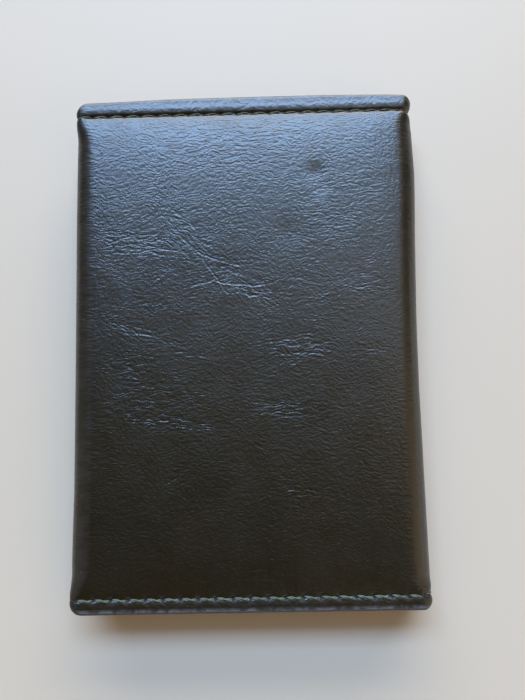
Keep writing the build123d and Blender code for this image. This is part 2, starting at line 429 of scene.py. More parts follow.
class Half:
    """Half of the leather strip: a cover, its fore-edge fold, its inner sleeve and half of the spine."""

    def __init__(self, name, body, up, stack, mouth_x, notched):
        self.name = name
        self.body = body
        self.up = up  # 1 for the cover on top, -1 for the one on the table
        self.stack = stack
        self.mouth_x = mouth_x
        self.notched = notched
        self.crown = None

    def height(self, depth):
        """Height above the table of a depth under this cover's outer face."""
        return thickness - depth if self.up > 0 else depth

    def mouth(self, y):
        """Where the sleeve ends, with its thumb notch if it has one."""
        if not self.notched:
            return np.full_like(y, self.mouth_x)
        away = np.abs(y)
        centre = math.sqrt((notch_radius + notch_fillet) ** 2 - notch_fillet ** 2)
        joint = centre * notch_radius / (notch_radius + notch_fillet)
        scoop = np.sqrt(np.clip(notch_radius ** 2 - away ** 2, 0, None))
        flare = notch_fillet - np.sqrt(np.clip(notch_fillet ** 2 - (centre - away) ** 2, 0, None))
        depth = np.where(away < joint, scoop, np.where(away < centre, flare, 0.0))
        return self.mouth_x - depth

    def fold_depth(self, y):
        """The fore-edge fold's radius: the whole stack's between the seams, and only the hem's beyond them."""
        return hem_layer + (self.stack / 2 - hem_layer) * rise(y, 69.0, 62.0)

    def line(self, part, t, y):
        """The strip's outer face for columns (part, t) by rows y: x, depth, the way outwards, and x laid flat."""
        part, t, y = part[:, None], t[:, None], y[None, :]
        # the spine's corner and the fold tighten at the hems, and the corner is rounder toward the bottom
        corner = 3.2 + np.interp(y, [-60.0, 60.0], [3.9, 2.9]) * rise(y, 70.2, 64.0)
        fold = self.fold_depth(y)
        reach = np.maximum(fold, 2.6 + 3.9 * rise(y, 70.0, 60.0) * (self.up > 0))
        back_x, front_x = spine_edge(y), fore_edge(y)
        flat_start, flat_end = back_x - corner, front_x + reach
        mouth = self.mouth(y)
        quarter, turn = t * math.pi / 2, t * math.pi
        zero = np.zeros_like(t + y)
        steep = np.hypot(np.sin(turn) * fold, np.cos(turn) * reach)
        parts = [
            (back_x + zero, middle + (corner - middle) * t, 1 + zero, zero, 99 + zero),
            (flat_start + corner * np.cos(quarter), corner * (1 - np.sin(quarter)),
             np.cos(quarter) + zero, -np.sin(quarter) + zero, flat_start + corner * (math.pi / 2 - quarter)),
            (flat_start + (flat_end - flat_start) * t, zero, zero, zero - 1,
             flat_start + (flat_end - flat_start) * t),
            (flat_end - reach * np.sin(turn), fold * (1 - np.cos(turn)),
             -np.sin(turn) * fold / steep, -np.cos(turn) * reach / steep, flat_end - (fold + reach) / 2 * turn),
            (flat_end + (mouth - flat_end) * t, 2 * fold + zero, zero, zero + 1, -99 + zero),
        ]
        return [np.choose(part + zero.astype(int), [p[k] for p in parts]) for k in range(5)]


FRONT = Half("front", "front_cover", -1, document_stack, document_mouth, False)
BACK = Half("back", "back_cover", 1, passport_stack, passport_mouth, True)


def strip_columns():
    """The strip's columns from the middle of the spine to the sleeve's mouth, as part numbers and shares."""
    sleeve = np.concatenate([np.linspace(0, 0.94, 54)[1:], np.linspace(0.94, 1, 9)[1:]])
    shares = [np.linspace(0, 1, 9), np.linspace(0, 1, 15)[1:], np.linspace(0, 1, 130)[1:], np.linspace(0, 1, 19)[1:],
              sleeve]
    part = np.concatenate([np.full(len(s), k) for k, s in enumerate(shares)])
    return part, np.concatenate(shares)


def strip_rows():
    """Rows from the middle to the top hem: closer together at the thumb notch and along the seam."""
    return np.concatenate([
        np.arange(0, 7, 1.0), np.arange(7, 14.2, 0.4), np.arange(15, 62.5, 1.0), np.arange(63, 67.5, 0.5),
        np.arange(67.6, 71.2, 0.2), np.array([71.5, 71.9, 72.25, half_length - hem_layer / 2])])


def along_strip(half, part, t):
    """How far each column is from the middle of the spine, measured along the seam."""
    x, depth = half.line(part, t, np.array([seam_y]))[:2]
    steps = np.hypot(np.diff(x[:, 0]), np.diff(depth[:, 0]))
    return np.concatenate([[0], np.cumsum(steps)])


def seam_pull(half, along, end):
    """1 at each needle hole and 0 between holes, on the seam at this end."""
    turns = (-half.up * along - stitch_shift[end]) / stitch_pitch
    return (0.5 + 0.5 * np.cos(2 * np.pi * turns)) ** 2


def mix_cells(values, i, j, fu, fv):
    """A grid's values between its points, from whole and part cell numbers."""
    low_row = values[i, j] * (1 - fu) + values[i + 1, j] * fu
    high_row = values[i, j + 1] * (1 - fu) + values[i + 1, j + 1] * fu
    return low_row * (1 - fv) + high_row * fv


def smooth_noise(x, y, cell, seed):
    """Smooth random heights from -1 to 1 on cells of this size."""
    grid = np.random.default_rng(seed).uniform(-1, 1, (64, 64))
    u, v = x / cell + 31.5, y / cell + 31.5
    i, j = np.floor(u).astype(int), np.floor(v).astype(int)
    return mix_cells(grid, np.clip(i, 0, 62), np.clip(j, 0, 62), ease(u - i), ease(v - j))


# ---- The padded panel, puffed up between its seams and folds ----

PANEL_X = (-51.0, 48.0)  # laid flat: part of the way round the fold and the spine's corner
PANEL_Y = 68.3
SIM_SCALE, SIM_FRAMES = 10.0, 20
FULL_HEIGHT = 1.15  # the panel's height levels off towards this


def puffed_panel():
    """Heights of the padded cover in millimetres on a grid, from a cloth pushed up by its padding."""
    nx, ny = 60, 92
    xs, ys = np.linspace(*PANEL_X, nx), np.linspace(-PANEL_Y, PANEL_Y, ny)
    grid_x, grid_y = np.meshgrid(xs, ys, indexing="ij")
    gather = 1.0 + 0.006 * np.sin(grid_x * 1.1) * np.sign(grid_y)
    points = np.stack([grid_x, grid_y * gather, np.zeros_like(grid_x)], -1).reshape(-1, 3) * MM * SIM_SCALE
    index = np.arange(nx * ny).reshape(nx, ny)
    faces = np.stack([index[:-1, :-1], index[1:, :-1], index[1:, 1:], index[:-1, 1:]], -1).reshape(-1, 4)
    mesh = bpy.data.meshes.new("padding_push")
    mesh.from_pydata(points.tolist(), [], faces.tolist())
    cloth_piece = linked("padding_push", mesh)
    edge = np.unique(np.concatenate([index[0], index[-1], index[:, 0], index[:, -1]]))
    pins = cloth_piece.vertex_groups.new(name="pins")
    pins.add(edge.tolist(), 1.0, "REPLACE")
    cloth = cloth_piece.modifiers.new("cloth", "CLOTH")
    settings = cloth.settings
    settings.vertex_group_mass = "pins"
    settings.quality = 6
    settings.mass = 0.15
    settings.tension_stiffness = settings.compression_stiffness = 22.0
    settings.shear_stiffness = 8.0
    settings.bending_stiffness = 2.5
    settings.use_pressure = True
    settings.uniform_pressure_force = 4.0
    settings.effector_weights.gravity = 0.0
    cloth.point_cache.frame_start = 1
    cloth.point_cache.frame_end = SIM_FRAMES
    scene = bpy.context.scene
    for number in range(1, SIM_FRAMES + 1):
        scene.frame_set(number)
    settled = cloth_piece.evaluated_get(bpy.context.evaluated_depsgraph_get()).to_mesh()
    found = np.array([v.co[2] for v in settled.vertices]).reshape(nx, ny) / MM / SIM_SCALE
    scene.frame_set(1)
    bpy.data.objects.remove(cloth_piece)
    bpy.data.meshes.remove(mesh)
    return xs, ys, FULL_HEIGHT * (1 - np.exp(-np.abs(found) / FULL_HEIGHT))


def sample(grid, x, y):
    """Heights of a grid at points, and 0 off it."""
    xs, ys, values = grid
    u = np.clip((x - xs[0]) / (xs[1] - xs[0]), 0, len(xs) - 1.001)
    v = np.clip((y - ys[0]) / (ys[1] - ys[0]), 0, len(ys) - 1.001)
    i, j = u.astype(int), v.astype(int)
    inside = (x > xs[0]) & (x < xs[-1]) & (np.abs(y) < ys[-1])
    return np.where(inside, mix_cells(values, i, j, u - i, v - j), 0.0)


# dents in the top cover: x, y, radius, depth
DENTS = [(21.0, 50.0, 2.6, 0.34), (22.3, 45.5, 2.2, 0.20), (12.5, 32.5, 4.5, 0.16), (-6.0, 21.0, 4.0, 0.10),
         (30.0, -12.0, 6.0, 0.12)]


def relief(half, part, t, along, x, flat_x, y, end):
    """How far the strip's face stands out from its line, in millimetres."""
    away = np.abs(y)
    from_seam = away - seam_y
    on_fold = np.where(part == FOLD, 0.4, 1.0)
    groove = GROOVE_DEPTH[end] * on_fold * bell(from_seam, 0.46)
    hemward = np.clip((from_seam + 0.2) / 1.9, 0, 1)
    pinch = np.where(from_seam > 0, np.exp(-hemward * 2.6), bell(from_seam, 0.9))
    scallop = SCALLOP_DEPTH[end] * on_fold * seam_pull(half, along, end) * pinch
    total = 0.10 * bell(away - 71.2, 0.9) - groove - scallop
    face = part == FACE
    inside = rise(y, seam_y - 0.3, seam_y - 5.0) * np.where(part == SPINE, t, 1.0)
    if half.up > 0:
        swell = 0.06 * smooth_noise(x, y, 17.0, 4) + 0.01 * smooth_noise(x, y, 7.0, 9)
        total = total + sample(half.crown, flat_x, y) + np.where(part <= FACE, swell, 0.4 * swell) * inside
        for cx, cy, radius, depth in DENTS:
            total = total - face * depth * bell(np.hypot(x - cx, y - cy), radius)
    else:
        swell = (0.10 * smooth_noise(x, y, 15.0, 21) - 0.10) * inside
        total = np.where(face, np.minimum(total, 0), total) + swell
    return total


def leather_half(half):
    """Builds one half of the strip as a closed shell, turned edges and rounded mouth included."""
    part, t = strip_columns()
    rows = strip_rows()
    along = along_strip(half, part, t)
    outer_rows = np.concatenate([-rows[:0:-1], rows])
    roll = np.linspace(0, math.pi, 7)[1:-1]
    x0 = half.line(part, t, np.array([half_length]))[0][:, 0]
    # the hem's edge along the strip: cut to a curve at the fore-edge, pulled in a little at the spine
    corner, spine_reach = 3.8, 2.2
    into_fore = np.clip(fore_x + corner - x0, 0, corner)
    arch = np.interp(x0, TOP_ARCH[:, 0], TOP_ARCH[:, 1])
    top_edge = half_length - (corner - np.sqrt(np.clip(corner ** 2 - into_fore ** 2, 0, None)))
    into_spine = np.clip((x0 - (spine_x - spine_reach)) / spine_reach, 0, 1)
    layer = np.where(part == FOLD, hem_layer - 0.04, hem_layer)
    radius = layer / 2
    last_flat = half_length - hem_layer / 2
    squash_from = seam_y + 0.65
    on_sleeve = part == SLEEVE
    shape = []

    def place(y_nominal, kind, angle=0.0):
        """Adds one row of the shell: on its outer face, round its hem, or on its inner face."""
        end = 1 if y_nominal >= 0 else -1
        away = abs(y_nominal)
        edge = top_edge - SPINE_PULL[end] * into_spine ** 2 + arch * (end > 0)
        y = np.full(len(part), away)
        if away > squash_from:
            y = squash_from + (away - squash_from) * (edge - radius - squash_from) / (last_flat - squash_from)
        line_y = np.array([y_nominal])
        lx, ld, nx, nd, flat_x = (v[:, 0] for v in half.line(part, t, line_y))
        from_mouth = half.mouth(line_y)[0] - lx
        near_mouth = np.clip(1 - from_mouth / 0.5, 0, 1) * on_sleeve
        rounding = 0.32 * (1 - np.sqrt(1 - near_mouth ** 2))
        stand = relief(half, part, t, along, lx, flat_x, end * y, end)
        stand = stand - 0.16 * bell(from_mouth - 2.2, 0.45) * on_sleeve * (away < 66)
        if kind == "outer":
            offset = stand - rounding
        elif kind == "roll":
            y = y + radius * math.sin(angle)
            offset = stand * 0.5 * (1 + math.cos(angle)) - radius * (1 - math.cos(angle))
        else:
            hidden = np.where(away > turned_edge, layer, leather - 0.05)
            limit = np.where(part == FOLD, half.fold_depth(away) - 0.05, 99.0)
            reach = np.where((part == CORNER) | (part == FACE), 1.4, 0.4)
            kept = np.clip(stand, np.where(reach > 1, -0.6, -0.4), reach) * (away < turned_edge)
            offset = kept - np.minimum(hidden, limit) + rounding
        shape.append(np.stack([lx + nx * offset, end * y, half.height(ld + nd * offset)], -1))

    for y in outer_rows:
        place(y, "outer")
    for angle in roll:
        place(rows[-1], "roll", angle)
    for y in outer_rows[::-1]:
        place(y, "inner")
    for angle in roll[::-1]:
        place(-rows[-1], "roll", angle)
    return np.stack(shape, 1), part, along, outer_rows, len(roll)


def new_piece(name, points, faces, material=None, smooth=True):
    """A mesh object at the origin from points in millimetres."""
    mesh = bpy.data.meshes.new(name)
    mesh.from_pydata((np.asarray(points) * MM).tolist(), [], [list(f) for f in faces])
    mesh.validate()
    mesh.update()
    if smooth:
        mesh.shade_smooth()
    if material:
        mesh.materials.append(material)
    return linked(name, mesh)


def rolled_faces(index):
    """Faces of a grid whose columns are closed loops."""
    following = np.roll(index, -1, axis=1)
    return np.stack([index[:-1], index[1:], following[1:], following[:-1]], -1).reshape(-1, 4).tolist()


def closed_faces(index, count, turns):
    """Faces of a flat tube with its ends closed. index holds the numbers of its vertices by column.

    A column runs over count upper rows, turns rows round an edge, count lower rows, and back round if any are left.
    """
    faces = rolled_faces(index)
    for column, way in ((index[0].tolist(), 1), (index[-1].tolist(), -1)):
        top, under = column[:count], column[count + turns:2 * count + turns][::-1]
        cap = [list(face) for face in zip(top, top[1:], under[1:], under)]
        for chain, hub in (([top[-1], *column[count:count + turns]], under[-1]),
                           ([under[0], *column[2 * count + turns:]], top[0])):
            cap += [[a, b, hub] for a, b in zip(chain, chain[1:])]
        faces += [face[::way] for face in cap]
    return faces


def lay_out(piece, values):
    """Gives a piece its strip position: a UV per vertex, in metres along and across the leather."""
    layer = piece.data.uv_layers.new(name="strip")
    corners = np.zeros(len(piece.data.loops), int)
    piece.data.loops.foreach_get("vertex_index", corners)
    layer.data.foreach_set("uv", (values[corners] * MM).astype(np.float32).ravel())


def paint(piece, name, values, kind="FLOAT"):
    """Gives a piece an attribute with a value at each vertex."""
    attribute = piece.data.attributes.new(name, kind, "POINT")
    field = "value" if kind == "FLOAT" else "vector"
    attribute.data.foreach_set(field, np.asarray(values, np.float32).ravel())


CREASE_LAYERS = ("crease_a", "crease_b", "crease_c", "crease_d")
CREASE_DEPTH = 0.64
# creases on the top cover: depth, then the places along each
CREASES = [
    (0.085, [(-21, 35), (-19, 32.5), (-16, 29.5), (-13, 27), (-10, 25.5), (-6.5, 24.5), (-4, 23.5), (-0.5, 23)]),
    (0.05, [(-17.5, 33.5), (-15.5, 31), (-13.5, 29)]),
    (0.05, [(-21, 40), (-18.5, 38), (-17, 37)]),
    (0.04, [(-16, 36.5), (-14, 33.5)]),
    (0.07, [(-12.5, 26), (-11, 23.5), (-9.5, 21.5), (-8, 19.5), (-6, 16), (-4.5, 14.5)]),
    (0.06, [(-8, 23.5), (-5, 22), (-2, 20.5), (1, 19.5)]),
    (0.09, [(-17.5, 17), (-13, 18), (-9, 19), (-6, 18), (-1.5, 17.5), (2.5, 17), (6.5, 17.5)]),
    (0.045, [(7, 17.5), (10, 19), (15.5, 19), (21, 17), (25.5, 18), (29.5, 16.5), (35.5, 15.5), (41, 14.5)]),
    (0.07, [(-4, 15), (-1.5, 15.5), (1, 14), (4.5, 14.5), (7.5, 13), (9, 11.5)]),
    (0.06, [(3.5, 13.5), (5.5, 11.5), (8, 9.5)]),
    (0.04, [(1, 12), (3, 9.5), (4.5, 8), (6.5, 6.5)]),
    (0.05, [(-45, 33.5), (-39, 30.5), (-35.5, 32), (-32, 32), (-27.5, 30.5)]),
    (0.06, [(-30.5, 30), (-26, 29), (-21.5, 28), (-19, 27.5)]),
    (0.05, [(-27.5, 28), (-24, 26.5), (-19.5, 26.5)]),
    (0.05, [(-26, 32), (-23.5, 30.5)]),
    (0.05, [(-25, 35.5), (-22, 36)]),
    (0.04, [(-18.5, 21.5), (-15.5, 22), (-12.5, 21)]),
    (0.04, [(-27, 18), (-24.5, 20.5), (-21.5, 22), (-19, 23.5)]),
    (0.04, [(-35.5, 11.5), (-33, 13), (-29, 14)]),
    (0.04, [(-30.5, 12.5), (-26, 13)]),
    (0.07, [(-36, 8), (-33, 6.5)]),
    (0.06, [(-34, 6), (-30, 5.5), (-27, 5)]),
    (0.05, [(-40.5, 5), (-38, 4)]),
    (0.07, [(-34.5, 4.5), (-30.5, 4), (-26, 3.5), (-24.5, 2.5)]),
    (0.06, [(-24.5, 2), (-22, 1), (-19.5, 0.5), (-16.5, -0.5)]),
    (0.05, [(-22, -1.5), (-17.5, -1.5)]),
    (0.05, [(-17.5, -2.5), (-13.5, -2.5), (-9, -3.5)]),
    (0.05, [(-37.5, -8), (-33, -8), (-29.5, -9)]),
    (0.07, [(5, 0.5), (8, 1), (11.5, 1.5), (16.5, 2), (20.5, 1.5)]),
    (0.05, [(15, 3), (19.5, 3)]),
    (0.05, [(18, 0.5), (21, 0), (25, -0.5)]),
    (0.05, [(15, -1), (19, -1), (25, -2)]),
    (0.06, [(10.5, -3.5), (13.5, -2.5), (16.5, -2.5), (22, -3)]),
    (0.08, [(10.5, -7), (12.5, -5.5), (15.5, -4.5)]),
    (0.04, [(13.5, -8), (13, -11.5), (12.5, -14.5)]),
    (0.04, [(30.5, -2), (33.5, -1.5), (37, -2)]),
    (0.04, [(20.5, 13), (22.5, 14.5), (24.5, 15)]),
    (0.04, [(-2, -12.5), (1, -12.5)]),
    (0.06, [(0.5, -16), (5, -16.5), (9.5, -17)]),
    (0.05, [(0.5, -19), (6, -19), (11.5, -20), (20, -20)]),
    (0.05, [(11.5, -22.5), (15, -22.5)]),
    (0.06, [(18.5, -23), (21.5, -24), (25.5, -24.5)]),
    (0.05, [(12.5, -24.5), (16, -24)]),
    (0.05, [(-23.5, -38), (-20.5, -36.5), (-18, -35)]),
    (0.04, [(-20, -40.5), (-16, -43)]),
    (0.05, [(8.5, -40), (14, -40)]),
    (0.05, [(9.5, -42.5), (12, -41.5), (17, -41.5)]),
    (0.04, [(2.5, -42.5), (5, -41.5), (8, -41.5)]),
    (0.04, [(3.5, -33), (6.5, -32.5)]),
    (0.04, [(16.5, -49), (19.5, -46.5), (22, -45.5)]),
    (0.04, [(5, -61.5), (6.5, -60)]),
    (0.03, [(26.5, -39), (29, -36.5)]),
    (0.03, [(38, 64), (39, 59.5), (38.5, 54.5)]),
    (0.03, [(40.5, 63), (41, 58), (40.5, 53.5)]),
]
# the three ways that wrinkles run, their spacing, and ovals of wrinkles on the top cover:
# way, x, y, angle of the oval, half length, half width, strength
WRINKLE_ANGLES = (0.0, -0.55, 0.40)
WRINKLE_SPACING = (0.75, 0.95, 0.95)
WRINKLES = [
    (0, -32, 30, -0.05, 14.5, 5, 1),
    (0, 15, -1.5, 0, 13, 4, 0.9),
    (0, 11.5, -18.5, -0.03, 13, 3.5, 0.9),
    (0, -27.5, -15, 0, 20, 10, 0.7),
    (0, -33, -5, 0, 13, 4, 0.6),
    (0, 14, -40.5, 0, 10, 3, 0.8),
    (0, 2.5, -63, 0, 13, 3, 0.5),
    (0, -19, -22, -0.05, 17, 3, 0.9),
    (0, 35.5, 16.5, -0.1, 10, 5.5, 0.7),
    (0, 34.5, -2, 0, 8.5, 3, 0.6),
    (0, -1, 60.5, 0, 45.5, 14.5, 0.5),
    (0, 27.5, 41.5, 0, 20, 17, 0.5),
    (1, -16, 31, -0.8, 13, 6.5, 1.1),
    (1, 2.5, 16, -0.5, 8.5, 4, 1),
    (1, -33, 5, -0.25, 10, 3, 0.8),
    (2, -20.5, -37, 0.4, 5.5, 3.5, 0.8),
    (2, 19, -47, 0.6, 7, 5, 0.4),
    (2, 11, -55, 0.8, 8.5, 3.5, 0.35),
    (2, -23, 21, 0.6, 7, 3.5, 0.6),
    (2, 36.5, -66, 0.3, 8.5, 2.5, 0.6),
    (2, 19.5, 12.5, 0.6, 7, 4, 0.6),
    (2, 10.5, -5.5, 0.4, 7, 3.5, 0.7),
]


def crease_reach(line, x, y):
    """Signed distance to a bent line, and 1 along it falling to 0 past its ends."""
    best = np.full(x.shape, 1e9)
    signed = np.full(x.shape, 1e9)
    inside = np.zeros(x.shape)
    for k, (a, b) in enumerate(zip(line[:-1], line[1:])):
        run = np.subtract(b, a)
        length = math.hypot(*run)
        way = run / length
        along = (x - a[0]) * way[0] + (y - a[1]) * way[1]
        across = (x - a[0]) * way[1] - (y - a[1]) * way[0]
        low = -1e9 if k == 0 else 0.0
        high = 1e9 if k == len(line) - 2 else length
        beyond = np.maximum(np.maximum(low - along, along - high), 0)
        distance = np.hypot(across, beyond)
        closer = distance < best
        best = np.where(closer, distance, best)
        signed = np.where(closer, np.where(across < 0, -distance, distance), signed)
        before = along if k == 0 else np.full(x.shape, 9.0)
        after = length - along if k == len(line) - 2 else np.full(x.shape, 9.0)
        inside = np.where(closer, np.clip(np.minimum(before, after) / 2.5 + 0.3, 0, 1), inside)
    return signed, inside


def crease_layers():
    """Sorts the creases into layers whose creases keep clear of each other."""
    layers = [[] for _ in CREASE_LAYERS]
    for depth, line in CREASES:
        spots = np.array([np.add(a, np.multiply(np.subtract(b, a), s)) for a, b in zip(line[:-1], line[1:])
                          for s in np.linspace(0, 1, 12)])

        def room(layer):
            reaches = [np.abs(crease_reach(other, spots[:, 0], spots[:, 1])[0]).min() for _, other in layer]
            return min(reaches, default=99.0)

        max(layers, key=room).append((depth, line))
    return layers


def paint_creases(piece, places, face):
    """Paints each vertex with its distance to the nearest creases and its share of wrinkles."""
    x, y = places[:, 0], places[:, 1]
    for name, layer in zip(CREASE_LAYERS, crease_layers()):
        values = np.zeros((len(x), 3))
        values[:, 0] = 9.0
        for depth, line in layer:
            signed, inside = crease_reach(line, x, y)
            near = (np.abs(signed) < np.abs(values[:, 0])) & face & (inside > 0)
            values[near, 0] = signed[near]
            values[near, 1] = (CREASE_DEPTH * depth * inside * np.clip(2.4 - np.abs(signed) * 0.8, 0, 1))[near]
        paint(piece, name, values, "FLOAT_VECTOR")
    shares = np.tile([0.30, 0.10, 0.10], (len(x), 1))
    for kind, cx, cy, angle, length, width, strength in WRINKLES:
        across, along = x - cx, y - cy
        u = (across * math.cos(angle) + along * math.sin(angle)) / length
        v = (along * math.cos(angle) - across * math.sin(angle)) / width
        t = np.clip((1 - np.hypot(u, v)) / 0.65, 0, 1)
        shares[:, kind] += np.where(face, strength * ease(t), 0)
    paint(piece, "wrinkled", shares, "FLOAT_VECTOR")


def shell_piece(half, material):
    """The mesh object for one half of the strip."""
    points, part, along, outer_rows, roll_count = leather_half(half)
    columns, loop = points.shape[:2]
    index = np.arange(columns * loop).reshape(columns, loop)
    count = len(outer_rows)
    inner_start = count + roll_count
    faces = closed_faces(index, count, roll_count)
    if half.up > 0:
        faces = [f[::-1] for f in faces]
    piece = new_piece(f"{half.name}_cover_leather_strip", points.reshape(-1, 3), faces, material)
    pairs = np.zeros(len(piece.data.edges) * 2, int)
    piece.data.edges.foreach_get("vertices", pairs)
    on_end = np.isin(pairs, np.concatenate([index[0], index[-1]])).reshape(-1, 2).all(axis=1)
    piece.data.attributes.new("sharp_edge", "BOOLEAN", "EDGE").data.foreach_set("value", on_end)
    round_hem = np.linspace(0.4, 2.0, roll_count)
    v = np.concatenate([outer_rows, outer_rows[-1] + round_hem, outer_rows[::-1], outer_rows[0] - round_hem[::-1]])
    side = 300.0 * (np.arange(loop) >= inner_start)  # the inner face is laid out clear of the outer one
    u = -half.up * (along[:, None] + side)
    v = np.broadcast_to(v, u.shape)
    lay_out(piece, np.stack([u, v], -1).reshape(-1, 2))
    on_face = (part == FACE)[:, None] & (np.arange(loop) < count) & (half.up > 0)
    paint_creases(piece, points.reshape(-1, 3)[:, :2], on_face.ravel())
    # edge: rubbed wear on the hems and the fold; the bottom hem is painted stronger (1.5 against 0.7 at the top), a
    # painted highlight for the light on its rolled rim
    hem = np.clip((np.abs(v) - 71.4) / 0.9, 0, 1) * np.where(v < 0, 1.5, 0.7) * (np.arange(loop) < inner_start)
    fold = 0.15 * (part == FOLD)[:, None] * (np.arange(loop) < count)
    paint(piece, "edge", np.maximum(hem, fold))
    return piece


# ---- Materials ----


def start_material(name):
    """An empty material: itself, its tree and the piece's own strip position in millimetres."""
    material = bpy.data.materials.new(name)
    material.use_nodes = True
    tree = material.node_tree
    tree.nodes.clear()
    return material, tree, scaled(result(tree, "ShaderNodeUVMap", uv_map="strip"), 1000.0)


def finish_material(tree, base, roughness, height, **constants):
    """Adds the shader: its colour, its roughness, a bump from a height in millimetres, and constants."""
    normal = result(tree, "ShaderNodeBump", {"Height": height, "Distance": MM, "Strength": 1.0})
    inputs = {"Base Color": base, "Roughness": roughness, "Normal": normal}
    inputs.update({name.replace("_", " "): value for name, value in constants.items()})
    shader = result(tree, "ShaderNodeBsdfPrincipled", inputs)
    put(tree, "ShaderNodeOutputMaterial", {"Surface": shader})


def painted(tree, name, output="Fac"):
    """A painted attribute: one number, or three from its vector."""
    found = result(tree, "ShaderNodeAttribute", output=output, attribute_name=name)
    return parts(found) if output == "Vector" else found


def outer_leather_material():
    """Glossy dark brown pressed leather with creases, needle holes, rubbed edges and a painted highlight on the
    bottom rim.
    """
    material, tree, position = start_material("glossy_dark_leather")
    grain = use(tree, GRAIN, Position=position, Size=1.12, Stretch=1.6, Depth=0.088)
    bend = scaled(vector_calc("SUBTRACT", noise(position, 0.30, 2.0, 0.5, "Color"), HALFWAY), 2.0)
    bent = vector_calc("ADD", position, bend)
    height = grain["Height"]
    for share, angle, spacing in zip(painted(tree, "wrinkled", "Vector"), WRINKLE_ANGLES, WRINKLE_SPACING):
        height = use(tree, WRINKLE, Below=height, Position=bent, Angle=angle, Spacing=spacing, Depth=0.038,
                     Share=share)["Height"]
    waver = parts(bend)[1] * 0.45
    broken = soft_step(noise(position, 0.55, 2.0, 0.6), 0.34, 0.60, 0.25, 1.0)
    for layer in CREASE_LAYERS:
        distance, depth, _ = painted(tree, layer, "Vector")
        height = use(tree, CREASE, Below=height, Distance=distance, Depth=depth * broken, Waver=waver,
                     Width=0.34)["Height"]
    holes = use(tree, HOLES, Position=position)["Mask"]
    wear_and_highlight = use(tree, WEAR_AND_HIGHLIGHT, Position=position, Edge=painted(tree, "edge"), Amount=0.6)["Mask"]
    specks = use(tree, DUST, Position=position, Amount=0.25)["Mask"]
    cloud = soft_step(noise(position, 0.035, 3.0, 0.55), 0.35, 0.65)
    # the edge mask lays a pale bluish grey over the hems and the fold: rubbed wear, and on the bottom rim, painted
    # stronger, a painted highlight standing in for the light on the rolled edge
    base = layered(tree, (0.0078, 0.0070, 0.0026), (cloud, (0.0110, 0.0084, 0.0030)),
                   (grain["Valley"] * 0.35, (0.004, 0.003, 0.002)), (wear_and_highlight, (0.120, 0.115, 0.120)),
                   (specks, (0.20, 0.19, 0.17)), (holes, (0.001, 0.001, 0.001)))
    rough = soft_step(noise(position, 0.09, 3.0, 0.6), 0.3, 0.7, 0.315, 0.365) + wear_and_highlight * 0.12 + holes * 0.5
    finish_material(tree, base, rough, height - holes * 0.3, Specular_IOR_Level=0.8)
    return material


def inner_leather_material():
    """The card slots' plain leather: finer grain, less gloss, faint pressed lines."""
    material, tree, position = start_material("plain_dark_leather")
    grain = use(tree, GRAIN, Position=position, Size=1.0, Stretch=1.4, Depth=0.032)
    wear_and_highlight = use(tree, WEAR_AND_HIGHLIGHT, Position=position, Edge=painted(tree, "edge"), Amount=0.8)["Mask"]
    specks = use(tree, DUST, Position=position, Amount=0.2)["Mask"]
    cloud = noise(position, 0.06, 3.0, 0.55)
    base = layered(tree, (0.0120, 0.0090, 0.0052), (soft_step(cloud, 0.35, 0.65), (0.0185, 0.0128, 0.0070)),
                   (grain["Valley"] * 0.3, (0.005, 0.004, 0.0025)), (wear_and_highlight, (0.060, 0.042, 0.028)),
                   (specks, (0.20, 0.19, 0.17)))
    rough = soft_step(cloud, 0.3, 0.7, 0.42, 0.52) + wear_and_highlight * 0.1
    finish_material(tree, base, rough, grain["Height"] - painted(tree, "pressed") * 0.10)
    return material


def lining_material():
    """Dark woven lining cloth."""
    material, tree, position = start_material("dark_lining_cloth")
    weave = use(tree, WEAVE, Position=position, Yarn=0.42)
    cloud = soft_step(noise(position, 0.05, 3.0, 0.6), 0.3, 0.7, 0.0, 0.35)
    specks = use(tree, DUST, Position=position, Amount=0.5)["Mask"]
    base = layered(tree, (0.006, 0.006, 0.005), (weave["Shade"], (0.030, 0.028, 0.025)),
                   (cloud, (0.020, 0.018, 0.014)), (specks, (0.30, 0.29, 0.27)))
    finish_material(tree, base, soft_step(weave["Height"], 0.2, 1.0, 0.85, 0.62), weave["Height"] * 0.09,
                    Sheen_Weight=0.25, Sheen_Roughness=0.5)
    return material


def felt_material():
    """Grey needled felt of the padding."""
    material, tree, position = start_material("grey_felt")
    fibres = noise(position, 2.6, 4.0, 0.75)
    clumps = soft_step(noise(position, 0.25, 3.0, 0.6), 0.35, 0.7, 0.0, 0.4)
    base = layered(tree, (0.10, 0.10, 0.10), (fibres, (0.32, 0.31, 0.30)), (clumps, (0.16, 0.15, 0.14)))
    finish_material(tree, base, 0.95, fibres * 0.25, Sheen_Weight=0.2)
    return material


def thread_material():
    """Waxed olive-green thread: laid strands with little gloss and frayed fibres."""
    material, tree, position = start_material("olive_thread")
    strands = result(tree, "ShaderNodeTexWave", {"Vector": position, "Scale": 2.4, "Distortion": 0.6, "Detail": 2.0,
                                                 "Detail Scale": 3.0}, 1, bands_direction="DIAGONAL")
    fibres = noise(position, 6.0, 3.0, 0.7)
    patchy = soft_step(noise(position, 0.12, 2.0, 0.5), 0.35, 0.7, 0.0, 0.5)
    base = layered(tree, (0.078, 0.092, 0.062), (fibres, (0.29, 0.34, 0.25)), (strands * 0.5, (0.020, 0.025, 0.016)),
                   (patchy, (0.060, 0.062, 0.038)))
    finish_material(tree, base, 0.75, strands * 0.05 + fibres * 0.06, Specular_IOR_Level=0.15)
    return material


# ---- Pieces that follow the strip: padding and lining ----


